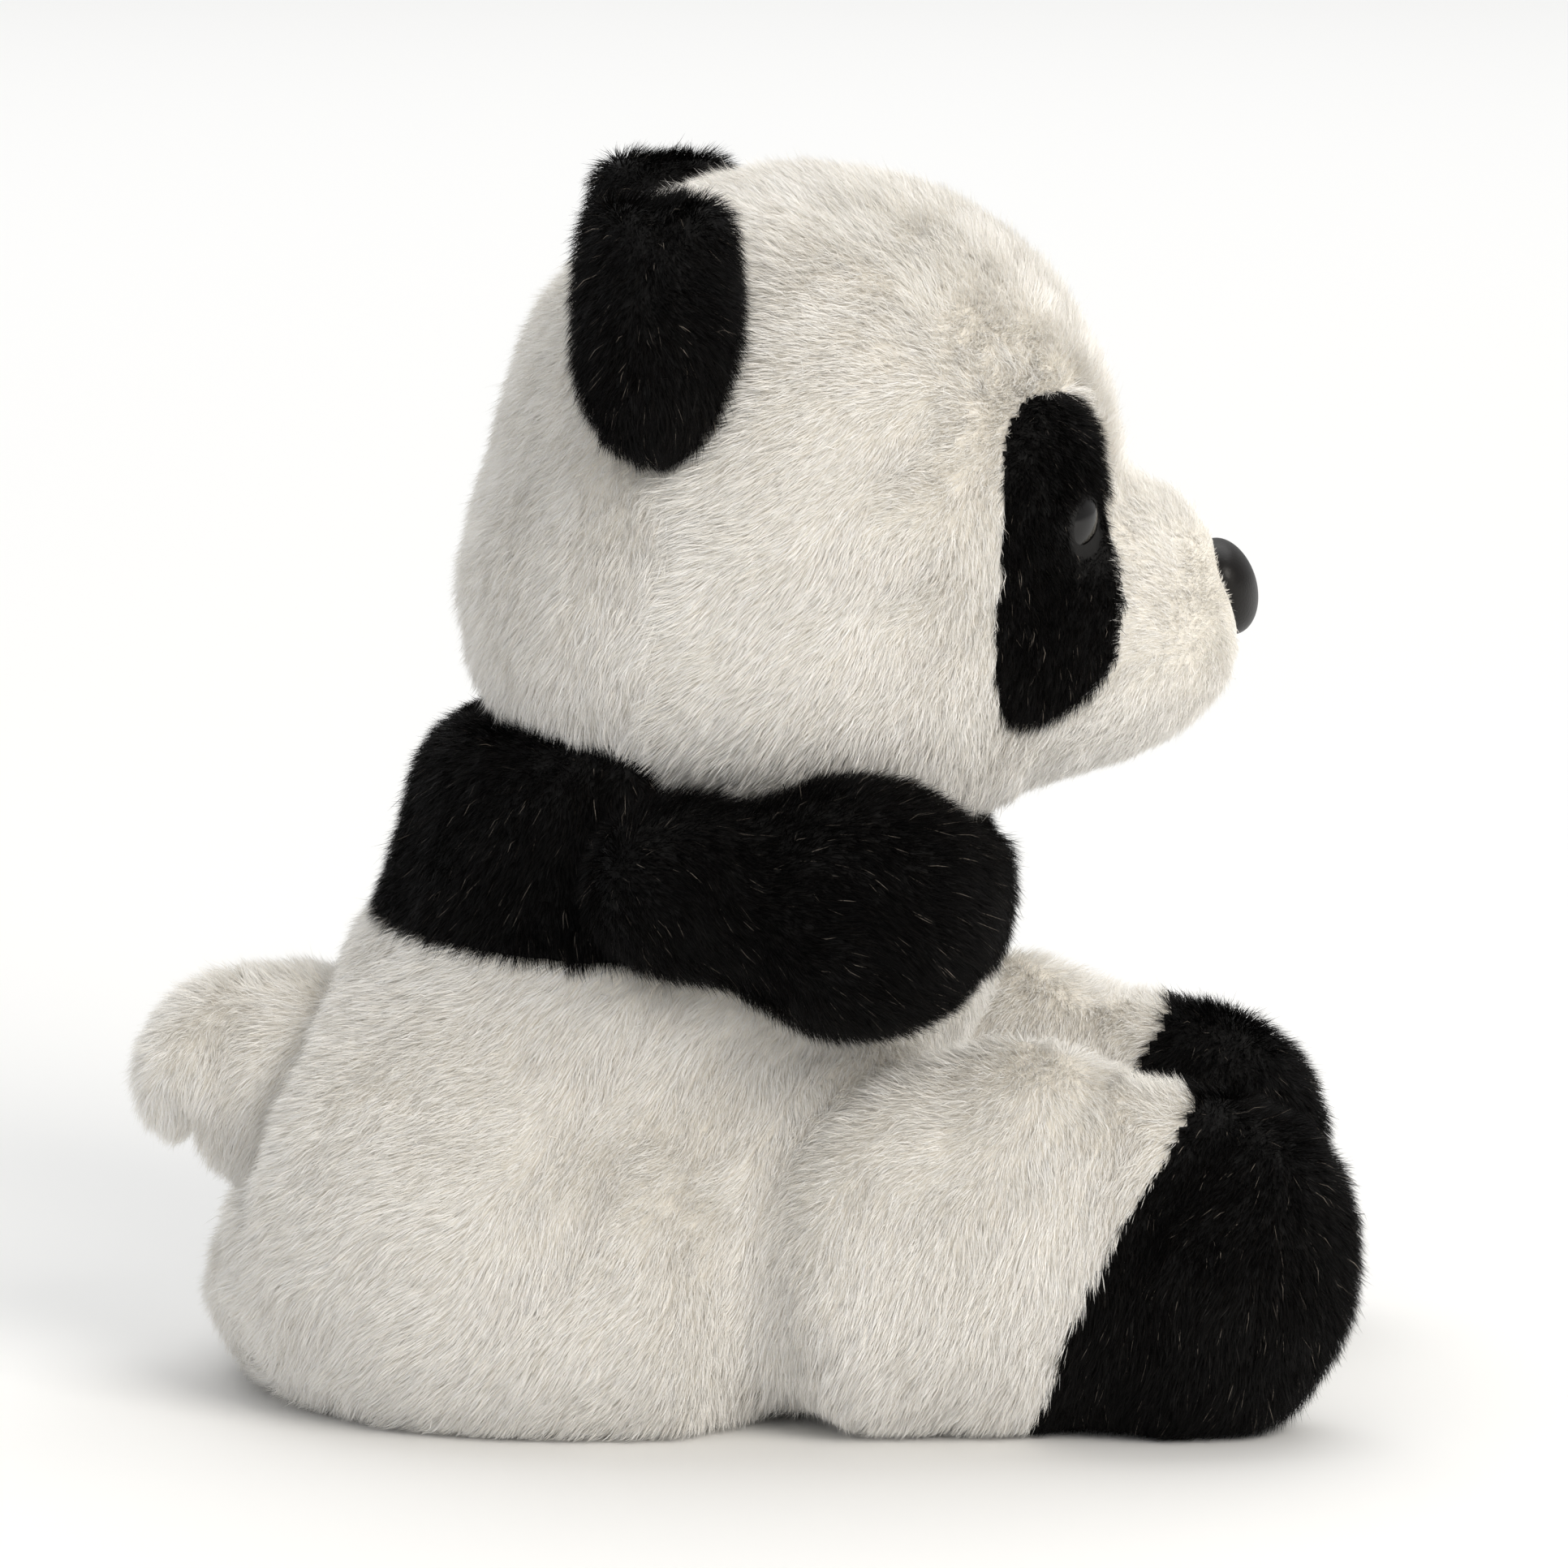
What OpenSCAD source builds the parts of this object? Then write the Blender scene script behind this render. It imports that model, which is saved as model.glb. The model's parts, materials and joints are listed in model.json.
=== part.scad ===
// Sitting plush panda: stuffed fabric head, body, arms, legs, ears and tail.
// X is side to side with the panda's left at +X, the panda looks along -Y, and Z is up from the seat.

/* [Body] */
// Width across the hips, over the fur
body_w = 81; // [77:1:84]
// Width across the shoulders, over the fur
shoulder_w = 69; // [67:1:70]

/* [Head] */
// Width of the head, over the fur
head_w = 76; // [73:1:78]
// Width of the muzzle, over the fur
muzzle_w = 41; // [37:1:43]

/* [Ears] */
// Length of an ear along the head
ear_l = 27; // [24:1:27]
// How far an ear stands out of the head
ear_h = 11.5; // [9:0.5:12]
// Thickness of an ear
ear_t = 15; // [12:0.5:15]

/* [Arms and legs] */
// Thickness of an arm, over the fur
arm_w = 23; // [21:1:24]
// Width of a leg, over the fur
leg_w = 29; // [27:1:30]

/* [Eyes and nose] */
// Diameter of an eye
eye_d = 8; // [7:0.5:9]
// Width of the nose
nose_w = 12.8; // [11:0.2:14]

/* [Fabric] */
// Depth from the tips of the fur to its backing
pile = 2.5; // [2:0.1:3]
// Thickness of the backing fabric
cloth = 0.8; // [0.5:0.1:1]

/* [Filling] */
// Diameter of one pellet
pellet_d = 4.6; // [4:0.1:4.8]

/* [Hidden] */

white_fur = "#ece6da";
black_fur = "#1d1a19";
filling = "#f4f4f0";
hard_plastic = "#0b0b0c";
clear_plastic = "#d8d8d4";

far = 80;            // no surface lies further than this from its centre
steps = 15;          // halvings in the search for a surface
seam = 0.3;          // angle left open between two panels, in degrees
slack = 0.7;         // between the backing fabric and the filling
soft_gap = 1.2;      // between a leg or an ear and its socket
arm_gap = 2.4;       // between an arm or the tail and its socket
cut = 0.6;           // extra length of a hole that goes through a panel

// Levels of a skin, measured outwards from the tips of the fur
skin_out = -pile;
skin_in = -pile - cloth;
fill_out = -pile - cloth - slack;

// Where the limbs turn
neck_at = [0, -1, 76];
neck_r = 30.5;
shoulder_at = [33.5, 6, 57];
shoulder_r = 10.5;
hip_at = [25, -14, 18];
hip_size = [16.5, 16.5, 20.5];
tail_at = [0, 45, 31];
tail_r = 13;
ear_tilt = 60;       // from straight up, seen from the front
ear_at = [28.6, 7.8, 111.6];

// Shapes that the soft forms are blended from, each as its centre and half sizes, over the fur
hips = [[0, 16, 15], [body_w / 2, 40.8, 28]];
rump = [[0, 23, 28], [34, 26, 18]];
chest = [[0, 3, 54], [shoulder_w / 2, 32, 32]];
skull = [[0, -7.2, 95], [head_w / 2, 31.6, 32]];
nape = [[0, 0.5, 81], [33, 27.8, 22]];
jaw = [[0, -6, 76], [32.5, 27.6, 20.5]];
snout = [[0, -30.5, 78.7], [muzzle_w / 2, 21.5, 16.5]];
shoulder = [shoulder_at, [shoulder_r, shoulder_r, shoulder_r]];
paw = [[34.5, -12, 55], [arm_w / 2, 15.2, 14.7]];
hip = [hip_at, hip_size];
thigh = [[26, -27, 19.5], [leg_w / 2, 21, 22.5]];
foot = [[26.5, -46.5, 16.5], [leg_w / 2, 16.3, 20]];
tail_root = [tail_at, [tail_r, tail_r, tail_r]];
tail_tip = [[0, 50, 31.5], [12, 12.8, 12]];
cheek_room = [[0, -1, 78], [35, 37, 24]];

// ---- distance fields ----

// Distance, near enough, from point p to the egg shape e; negative inside
function egg(p, e) =
    let (
        q = p - e[0],
        a = [q.x / e[1].x, q.y / e[1].y, q.z / e[1].z],
        b = [a.x / e[1].x, a.y / e[1].y, a.z / e[1].z],
        k = norm(a)
    )
    k * (k - 1) / max(norm(b), 0.0001);

// The nearer of two distances, rounded over a width k where they meet
function blend(a, b, k) =
    let (h = max(k - abs(a - b), 0) / k)
    min(a, b) - h * h * k / 4;

// Turns point p by angle r about the Y axis, so that local Z points out along an ear
function roll(p, r) = [p.x * cos(r) - p.z * sin(r), p.y, p.x * sin(r) + p.z * cos(r)];
function unroll(p, r) = roll(p, -r);

torso_field = function (p) blend(blend(egg(p, hips), egg(p, rump), 12), egg(p, chest), 14);
head_field = function (p)
    blend(blend(blend(egg(p, skull), egg(p, nape), 8), egg(p, jaw), 8), egg(p, snout), 6);
arm_field = function (p) blend(egg(p, shoulder), egg(p, paw), 8);
leg_field = function (p) blend(blend(egg(p, hip), egg(p, thigh), 5), egg(p, foot), 6);
tail_field = function (p)
    min(egg(p, tail_root), max(egg(p, tail_tip), 2 - pile - torso_field(p)));
// An ear is a pad with a round root, so that it can flop without leaving its socket
ear_field = function (p)
    let (q = roll(p - ear_at, ear_tilt), up = q.z > 0 ? ear_h : ear_t / 2)
    egg(q, [[0, 0, 0], [ear_l / 2, ear_t / 2, up]]) - pile;

// ---- rays and surfaces ----

// Unit direction at angle a from a pole that leans q from straight up to the front, and angle b
// round that pole, measured from the back (q = 0) or the top (q = 90) towards the panda's left
function ray(q, a, b) =
    cos(a) * [0, -sin(q), cos(q)]
    + sin(a) * (cos(b) * [0, cos(q), sin(q)] + sin(b) * [1, 0, 0]);

// Distance from c along d at which the field passes the level
function edge(field, c, d, level, lo, hi, n) =
    let (mid = (lo + hi) / 2)
    n == 0 ? mid
    : field(c + mid * d) < level ? edge(field, c, d, level, mid, hi, n - 1)
    : edge(field, c, d, level, lo, mid, n - 1);

// Distance from c along d to a pocket [centre, half sizes, roll, gap], or far if it is missed
function pocket_hit(k, c, d, level) =
    let (
        g = k[3] - level - pile,
        r = k[1] + [g, g, g],
        p = roll(c - k[0], k[2]),
        e = roll(d, k[2]),
        o = [p.x / r.x, p.y / r.y, p.z / r.z],
        v = [e.x / r.x, e.y / r.y, e.z / r.z],
        half = o * v,
        rest = half * half - (v * v) * (o * o - 1),
        near = rest < 0 ? -1 : (-half - sqrt(rest)) / (v * v)
    )
    near > 0 ? near : far;

// Distance from c along d to the flat underside at height z
function floor_hit(z, c, d, level) =
    d.z < -0.001 ? (c.z - (z - level - pile)) / -d.z : far;

// A soft form is [centre, field, pockets, underside]; this is its radius along d
function reach(form, d, level) =
    min([
        edge(form[1], form[0], d, level, 0, far, steps),
        floor_hit(form[3], form[0], d, level),
        for (k = form[2]) pocket_hit(k, form[0], d, level)
    ]);
function on_skin(form, d, level) = form[0] + reach(form, d, level) * d;

// Half sizes of a solid whose fur tips are at the half sizes r
function bare(e) = e[1] - [pile, pile, pile];
function flip(p) = [-p.x, p.y, p.z];

// ---- the soft forms ----

head_c = [0, -5, 95];
head_bare = [head_c, head_field, [], -far];
eye_side = 32;       // how far round to the side an eye looks
eye_drop = 6;        // how far below level it lies, seen from the head's middle
eye_dir = [sin(eye_side) * cos(eye_drop), -cos(eye_side) * cos(eye_drop), -sin(eye_drop)];
patch_z = [0.35, 1]; // the eye patch's two faces, above the side panel
eye_clear = 1.9;     // between an eye and its patch
eye_at = head_c + (reach(head_bare, eye_dir, skin_out) + patch_z[1] + eye_clear) * eye_dir;
eye_sink = 2.1;      // how far the round of an eye lies behind its flat back
nose_drop = 16;      // how far below level the nose lies, seen from the head's middle
nose_dir = [0, -cos(nose_drop), -sin(nose_drop)];
nose_at = head_c + (reach(head_bare, nose_dir, skin_out) + 0.4) * nose_dir;
nose_lift = 16;      // how far above level the nose faces
nose_face = [0, -cos(nose_lift), sin(nose_lift)];
nose_size = [5, nose_w / 2, 4.9];
ear_root = [ear_l / 2, ear_t / 2, ear_t / 2];

head = [head_c, head_field, [
    [ear_at, ear_root, ear_tilt, soft_gap],
    [flip(ear_at), ear_root, -ear_tilt, soft_gap]
], -far];

torso = [[0, 12, 30], torso_field, [
    [neck_at, [neck_r, neck_r, neck_r], 0, 0],
    for (e = [hip, thigh], s = [1, -1])
        [[s * e[0].x, e[0].y, e[0].z], bare(e), 0, soft_gap],
    for (e = [shoulder, paw], s = [1, -1])
        [[s * e[0].x, e[0].y, e[0].z], bare(e), 0, arm_gap],
    [tail_at, bare(tail_root), 0, arm_gap]
], 0];

arm = [[34.3, -6, 54], arm_field, [[cheek_room[0], cheek_room[1], 0, 0]], -far];
leg = [[26, -31, 18], leg_field, [], 0.3];
tail = [[0, 52, 32], tail_field, [], -far];
ear = [ear_at + unroll([0, 0, 2], ear_tilt), ear_field, [], -far];

// ---- panels and fillings ----

// Index of the grid point in row i and column j; a pole row is one point, and a ring closes
function at(i, j, rows, cols, ring, poles) =
    i * (cols + 1)
    + (((i == 0 && poles[0]) || (i == rows && poles[1])) ? 0 : (ring && j == cols) ? 0 : j);

// One fabric panel: the grid from angle a0(b) to a1(b) and from b[0] to b[1] round the pole
module panel(form, q, a0, a1, b, rows, cols, ring = false, poles = [false, false],
    out = skin_out, in = skin_in) {
    n = (rows + 1) * (cols + 1);
    rays = [for (i = [0:rows], j = [0:cols])
        let (v = b[0] + (b[1] - b[0]) * j / cols)
        ray(q, a0(v) + (a1(v) - a0(v)) * i / rows, v)];
    points = [
        for (d = rays) on_skin(form, d, out),
        for (d = rays) on_skin(form, d, in)
    ];
    cell = function (i, j) at(i, j, rows, cols, ring, poles);
    skins = [for (i = [0:rows - 1], j = [0:cols - 1])
        let (p = cell(i, j), r = cell(i, j + 1), s = cell(i + 1, j + 1), t = cell(i + 1, j))
        each [[p, s, r], [p, t, s], [n + p, n + r, n + s], [n + p, n + s, n + t]]];
    ends = [for (j = [0:cols - 1])
        let (p = cell(0, j), r = cell(0, j + 1), t = cell(rows, j), s = cell(rows, j + 1))
        each [[p, r, n + p], [n + p, r, n + r], [s, t, n + s], [n + s, t, n + t]]];
    sides = ring ? [] : [for (i = [0:rows - 1])
        let (p = cell(i, 0), t = cell(i + 1, 0), r = cell(i, cols), s = cell(i + 1, cols))
        each [[t, p, n + t], [n + t, p, n + p], [r, s, n + r], [n + r, s, n + s]]];
    polyhedron(points = points, faces = tidy(concat(skins, ends, sides)));
}

// Drops the faces that a pole has squeezed to a line
function tidy(faces) = [for (f = faces) if (f[0] != f[1] && f[1] != f[2] && f[2] != f[0]) f];

// The filling of a soft form: one closed solid under its skin
module stuffing(form, q, rows, cols, level = fill_out) {
    near = [[0, 0], [0.6, 0], [-0.6, 0], [0, 0.6], [0, -0.6]];   // a filling keeps inside its neighbours
    points = [for (i = [0:rows], j = [0:cols])
        form[0] + ray(q, 180 * i / rows, 360 * j / cols)
            * min([for (n = near)
                reach(form, ray(q, 180 * (i + n.x) / rows, 360 * (j + n.y) / cols), level)])];
    faces = [for (i = [0:rows - 1], j = [0:cols - 1])
        let (
            p = at(i, j, rows, cols, true, [true, true]),
            r = at(i, j + 1, rows, cols, true, [true, true]),
            s = at(i + 1, j + 1, rows, cols, true, [true, true]),
            t = at(i + 1, j, rows, cols, true, [true, true])
        )
        each [[p, s, r], [p, t, s]]];
    polyhedron(points = points, faces = tidy(faces));
}

// Subtracts the other children from the first, as one mesh
module cut_mesh() {
    resize([0, 0, 0]) difference() {
        children(0);
        children([1:$children - 1]);
    }
}

// Moves a piece that is drawn along +Z so that it runs inwards from the point p, against dir
module inwards(p, dir) {
    translate(p)
        rotate([0, 90 + asin(dir.z), atan2(-dir.y, -dir.x)])
            children();
}

module mirrored() mirror([1, 0, 0]) children();

function same(v) = function (b) v;

// ---- torso ----

neck_edge = function (b) 39.6 - 2.35 * cos(b);
band_edge = function (b) 58.8 + 4.2 * cos(b);
floor_edge = function (b) 131.5 + 9 * cos(b);
torso_lean = 12.8;
seat_size = [31, 32.6];
seat_points = 48;

module body_panel() {
    panel(torso, torso_lean, function (b) band_edge(b) + seam, floor_edge, [seam, 180 - seam], 12, 26);
}
module shoulder_band() {
    panel(torso, torso_lean, neck_edge, band_edge, [seam, 180 - seam], 5, 26);
}
module seat_panel() {
    color(white_fur)
        translate([0, hips[0].y, 0])
            linear_extrude(cloth)
                polygon([for (i = [0:seat_points - 1])
                    let (v = 360 * i / seat_points)
                    [seat_size.x * sin(v), seat_size.y * cos(v)]]);
}
module body_left() { color(white_fur) body_panel(); }
module body_right() { color(white_fur) mirrored() body_panel(); }
module shoulder_band_left() { color(black_fur) shoulder_band(); }
module shoulder_band_right() { color(black_fur) mirrored() shoulder_band(); }

// The pellet pouch lies low in the body and keeps the panda sitting up
pouch_r = 20;
pouch_z = [2.4, 14.4];
pouch_round = 5;
pouch_cloth = 0.5;
pouch_y = 19;
module pouch_solid(shrink) {
    h = pouch_z[1] - pouch_z[0];
    r = pouch_round - shrink;
    translate([0, pouch_y, 0])
        rotate_extrude()
            union() {
                translate([0, pouch_z[0] + shrink])
                    square([pouch_r - pouch_round, h - 2 * shrink]);
                translate([pouch_r - pouch_round, pouch_z[0] + pouch_round])
                    square([r, h - 2 * pouch_round]);
                for (z = [pouch_z[0] + pouch_round, pouch_z[1] - pouch_round])
                    translate([pouch_r - pouch_round, z])
                        intersection() {
                            circle(r, $fn = 48);
                            translate([0, -r])
                                square([r, 2 * r]);
                        }
            }
}
module torso_stuffing() {
    color(filling)
        cut_mesh() {
            stuffing(torso, torso_lean, 16, 40);
            translate([0, pouch_y, pouch_z[0] - slack])
                cylinder(r = pouch_r + slack, h = pouch_z[1] - pouch_z[0] + 2 * slack, $fn = 32);
        }
}
module pellet_pouch() {
    color(filling)
        difference() {
            pouch_solid(0);
            pouch_solid(pouch_cloth);
        }
}
pellet_pitch = 5.2;
pellet_rings = 2;
module pellets() {
    for (layer = [0, 1], i = [-pellet_rings:pellet_rings], j = [-pellet_rings:pellet_rings])
        if (abs(i + j) <= pellet_rings && (layer == 0 || abs(i) + abs(j) < 3))
            color(clear_plastic)
                translate([
                    (i + j / 2) * pellet_pitch,
                    pouch_y + j * pellet_pitch * sqrt(3) / 2,
                    pouch_z[0] + pouch_cloth + 0.15 + pellet_d * (layer + 0.5) + 0.15 * layer
                ])
                    sphere(d = pellet_d);
}

// The neck plug is a firm dish of filling between the head and the shoulders
plug_in = 26;
plug_out = neck_r - 1.2;
plug_half = 32;
module neck_plug() {
    color(filling)
        translate(neck_at)
            difference() {
                intersection() {
                    sphere(r = plug_out);
                    translate([0, 0, -plug_out])
                        cylinder(r = plug_out * sin(plug_half), h = plug_out);
                }
                sphere(r = plug_in);
            }
}

// ---- head ----

head_lean = 116;
muzzle_edge = function (b) 27.8 - 1.8 * cos(2 * b);
back_edge = function (b) 111.5 + 26.5 * cos(b);
mouth = 115;
stem_r = 1.5;
stem_l = 7.4;
washer_r = 4.2;
washer_z = [4.6, 5.8];

module stem_hole(p, dir) {
    inwards(p, dir)
        translate([0, 0, -cut])
            cylinder(r = stem_r + 0.3, h = stem_l, $fn = 20);
}
module head_back() {
    panel(head, head_lean, function (b) back_edge(b) + seam, same(180), [seam, 180 - seam], 8, 20,
        poles = [false, true]);
}
module head_side() {
    cut_mesh() {
        panel(head, head_lean, function (b) muzzle_edge(b) + seam, back_edge, [seam, 180 - seam], 12, 22,
            out = skin_out - 0.05);
        stem_hole(eye_at, eye_dir);
    }
}
module head_back_left() { color(white_fur) head_back(); }
module head_back_right() { color(white_fur) mirrored() head_back(); }
module head_side_left() { color(white_fur) head_side(); }
module head_side_right() { color(white_fur) mirrored() head_side(); }
module muzzle() {
    color(white_fur)
        cut_mesh() {
            panel(head, head_lean, same(0), muzzle_edge, [seam - mouth, mouth - seam], 6, 22,
                poles = [true, false]);
            stem_hole(nose_at, nose_face);
        }
}
module chin() {
    color(white_fur)
        panel(head, head_lean, function (b) 3 * seam, muzzle_edge, [mouth + seam, 360 - mouth - seam],
            6, 10);
}

// An eye patch is a leaf of black fabric sewn on over the side of the face
patch_pitch = 11.5;  // how far below level the patch's middle lies, seen from the head's middle
patch_turn = 38.5;   // how far round to the side the patch's middle lies
patch_half = [11.5, 25];
patch_square = 0.75;  // 1 gives an oval outline, and less makes it squarer
module eye_patch() {
    rows = 5;
    cols = 22;
    out = skin_out + patch_z[1];
    in = skin_out + patch_z[0];
    n = (rows + 1) * (cols + 1);
    rays = [for (i = [0:rows], j = [0:cols])
        let (
            v = 360 * j / cols,
            across = sign(sin(v)) * pow(abs(sin(v)), patch_square) * (1 + 0.4 * cos(v)),
            up = sign(cos(v)) * pow(abs(cos(v)), patch_square),
            x = patch_turn + patch_half.x * across * i / rows,
            z = -patch_pitch + patch_half.y * up * i / rows
        )
        [sin(x) * cos(z), -cos(x) * cos(z), sin(z)]];
    points = [for (d = rays) on_skin(head, d, out), for (d = rays) on_skin(head, d, in)];
    cell = function (i, j) at(i, j, rows, cols, true, [true, false]);
    faces = [for (i = [0:rows - 1], j = [0:cols - 1])
        let (p = cell(i, j), r = cell(i, j + 1), s = cell(i + 1, j + 1), t = cell(i + 1, j))
        each [[p, s, r], [p, t, s], [n + p, n + r, n + s], [n + p, n + s, n + t]]];
    rim = [for (j = [0:cols - 1])
        let (t = cell(rows, j), s = cell(rows, j + 1))
        each [[t, n + s, s], [t, n + t, n + s]]];
    cut_mesh() {
        polyhedron(points = points, faces = tidy(concat(faces, rim)));
        stem_hole(eye_at, eye_dir);
    }
}
module eye_patch_left() { color(black_fur) eye_patch(); }
module eye_patch_right() { color(black_fur) mirrored() eye_patch(); }

module eye() {
    inwards(eye_at, eye_dir) {
        intersection() {
            translate([0, 0, eye_sink])
                sphere(d = eye_d);
            translate([0, 0, -eye_d])
                cylinder(d = 2 * eye_d, h = eye_d);
        }
        cylinder(r = stem_r, h = stem_l);
    }
}
module washer(p, dir) {
    inwards(p, dir)
        translate([0, 0, washer_z[0]])
            difference() {
                cylinder(r = washer_r, h = washer_z[1] - washer_z[0]);
                translate([0, 0, -cut])
                    cylinder(r = stem_r + 0.05, h = 2 * cut + washer_z[1] - washer_z[0]);
            }
}
module washer_room(p, dir) {
    inwards(p, dir)
        cylinder(r = washer_r + 0.4, h = stem_l + cut, $fn = 24);
}
module eye_left() { color(hard_plastic) eye(); }
module eye_right() { color(hard_plastic) mirrored() eye(); }
module eye_washer_left() { color(clear_plastic) washer(eye_at, eye_dir); }
module eye_washer_right() { color(clear_plastic) mirrored() washer(eye_at, eye_dir); }
module nose() {
    color(hard_plastic)
        inwards(nose_at, nose_face) {
            intersection() {
                scale(nose_size)
                    sphere(r = 1);
                translate([0, 0, -nose_w])
                    cylinder(r = nose_w, h = nose_w);
            }
            cylinder(r = stem_r, h = stem_l);
        }
}
module nose_washer() { color(clear_plastic) washer(nose_at, nose_face); }
module head_stuffing() {
    color(filling)
        cut_mesh() {
            stuffing(head, head_lean, 18, 32);
            washer_room(eye_at, eye_dir);
            mirrored() washer_room(eye_at, eye_dir);
            washer_room(nose_at, nose_face);
        }
}

// ---- ears ----

module ear_panel() {
    panel(ear, 90, same(0), same(90 - seam), [0, 360], 5, 18, true, [true, false]);
}
module ear_rear_panel() {
    panel(ear, 90, same(90 + seam), same(180), [0, 360], 5, 18, true, [false, true]);
}
module ear_fill() { stuffing(ear, 90, 10, 16); }
module ear_left_front() { color(black_fur) ear_panel(); }
module ear_left_back() { color(black_fur) ear_rear_panel(); }
module ear_left_stuffing() { color(filling) ear_fill(); }
module ear_right_front() { color(black_fur) mirrored() ear_panel(); }
module ear_right_back() { color(black_fur) mirrored() ear_rear_panel(); }
module ear_right_stuffing() { color(filling) mirrored() ear_fill(); }

// ---- arms ----

// The arm's seam runs round it, along its top, paw and underside
module arm_half(b) {
    panel(arm, 90, same(0), same(180), b, 12, 8, poles = [true, true]);
}
module arm_fill() { stuffing(arm, 90, 12, 16); }
module arm_left_outer() { color(black_fur) arm_half([seam, 180 - seam]); }
module arm_left_inner() { color(black_fur) arm_half([180 + seam, 360 - seam]); }
module arm_left_stuffing() { color(filling) arm_fill(); }
module arm_right_outer() { color(black_fur) mirrored() arm_half([seam, 180 - seam]); }
module arm_right_inner() { color(black_fur) mirrored() arm_half([180 + seam, 360 - seam]); }
module arm_right_stuffing() { color(filling) mirrored() arm_fill(); }

// ---- legs ----

sole_edge = 40;
// The seam between the white thigh and the black foot leans back towards the floor
foot_edge = function (b) 69 - 24 * cos(b) + cos(2 * b);
module thigh_skin() {
    panel(leg, 90, function (b) foot_edge(b) + seam, same(180), [0, 360], 8, 20, true, [false, true]);
}
module foot_skin() {
    panel(leg, 90, same(sole_edge + seam), foot_edge, [0, 360], 4, 20, true);
}
module sole_skin() {
    panel(leg, 90, same(0), same(sole_edge), [0, 360], 4, 20, true, [true, false]);
}
module leg_fill() { stuffing(leg, 90, 14, 20); }
module leg_left_thigh() { color(white_fur) thigh_skin(); }
module foot_left_upper() { color(black_fur) foot_skin(); }
module foot_left_sole() { color(black_fur) sole_skin(); }
module leg_left_stuffing() { color(filling) leg_fill(); }
module leg_right_thigh() { color(white_fur) mirrored() thigh_skin(); }
module foot_right_upper() { color(black_fur) mirrored() foot_skin(); }
module foot_right_sole() { color(black_fur) mirrored() sole_skin(); }
module leg_right_stuffing() { color(filling) mirrored() leg_fill(); }

// ---- tail ----

module tail_half() {
    panel(tail, 90, same(0), same(180), [seam, 180 - seam], 10, 8, poles = [true, true]);
}
module tail_left() { color(white_fur) tail_half(); }
module tail_right() { color(white_fur) mirrored() tail_half(); }
module tail_stuffing() { color(filling) stuffing(tail, 90, 10, 14); }

// ---- assembly ----

seat_panel();
body_left();
body_right();
shoulder_band_left();
shoulder_band_right();
torso_stuffing();
pellet_pouch();
pellets();
neck_plug();
head_back_left();
head_back_right();
head_side_left();
head_side_right();
muzzle();
chin();
eye_patch_left();
eye_patch_right();
eye_left();
eye_right();
eye_washer_left();
eye_washer_right();
nose();
nose_washer();
head_stuffing();
ear_left_front();
ear_left_back();
ear_left_stuffing();
ear_right_front();
ear_right_back();
ear_right_stuffing();
arm_left_outer();
arm_left_inner();
arm_left_stuffing();
arm_right_outer();
arm_right_inner();
arm_right_stuffing();
leg_left_thigh();
foot_left_upper();
foot_left_sole();
leg_left_stuffing();
leg_right_thigh();
foot_right_upper();
foot_right_sole();
leg_right_stuffing();
tail_left();
tail_right();
tail_stuffing();
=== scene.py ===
import json
import math

import bmesh
import bpy
import numpy as np
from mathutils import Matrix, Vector
from mathutils.bvhtree import BVHTree


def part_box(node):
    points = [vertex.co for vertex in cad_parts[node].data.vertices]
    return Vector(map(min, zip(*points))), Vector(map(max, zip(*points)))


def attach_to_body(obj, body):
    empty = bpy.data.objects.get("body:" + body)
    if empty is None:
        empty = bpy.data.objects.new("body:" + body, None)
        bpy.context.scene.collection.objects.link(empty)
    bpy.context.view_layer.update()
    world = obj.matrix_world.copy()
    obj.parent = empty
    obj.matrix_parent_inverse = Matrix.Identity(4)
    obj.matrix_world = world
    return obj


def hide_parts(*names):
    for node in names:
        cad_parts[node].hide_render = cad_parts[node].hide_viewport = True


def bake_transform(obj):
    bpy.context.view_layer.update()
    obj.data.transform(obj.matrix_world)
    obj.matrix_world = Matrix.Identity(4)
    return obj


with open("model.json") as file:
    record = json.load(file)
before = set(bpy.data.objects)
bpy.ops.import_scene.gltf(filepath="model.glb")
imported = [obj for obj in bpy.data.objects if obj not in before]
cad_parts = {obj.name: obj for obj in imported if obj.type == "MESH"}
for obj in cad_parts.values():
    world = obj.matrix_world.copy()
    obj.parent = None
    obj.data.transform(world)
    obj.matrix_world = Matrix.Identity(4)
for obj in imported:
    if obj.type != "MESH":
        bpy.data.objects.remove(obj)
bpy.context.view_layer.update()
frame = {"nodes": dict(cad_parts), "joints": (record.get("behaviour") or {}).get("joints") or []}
mm = 0.001
sides = {"left": 1, "right": -1}
joints = {joint["name"]: joint for joint in frame["joints"]}


# the sewn panels of each stuffed form, as they are named in the frame
forms = {
    "torso": ["body_left", "body_right", "shoulder_band_left", "shoulder_band_right", "seat_panel"],
    "head": ["head_back_left", "head_back_right", "head_side_left", "head_side_right",
             "muzzle", "chin", "eye_patch_left", "eye_patch_right"],
    "tail": ["tail_left", "tail_right"],
}
for side in sides:
    forms[f"leg_{side}"] = [f"leg_{side}_thigh", f"foot_{side}_upper", f"foot_{side}_sole"]
    forms[f"arm_{side}"] = [f"arm_{side}_outer", f"arm_{side}_inner"]
    forms[f"ear_{side}"] = [f"ear_{side}_front", f"ear_{side}_back"]

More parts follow.
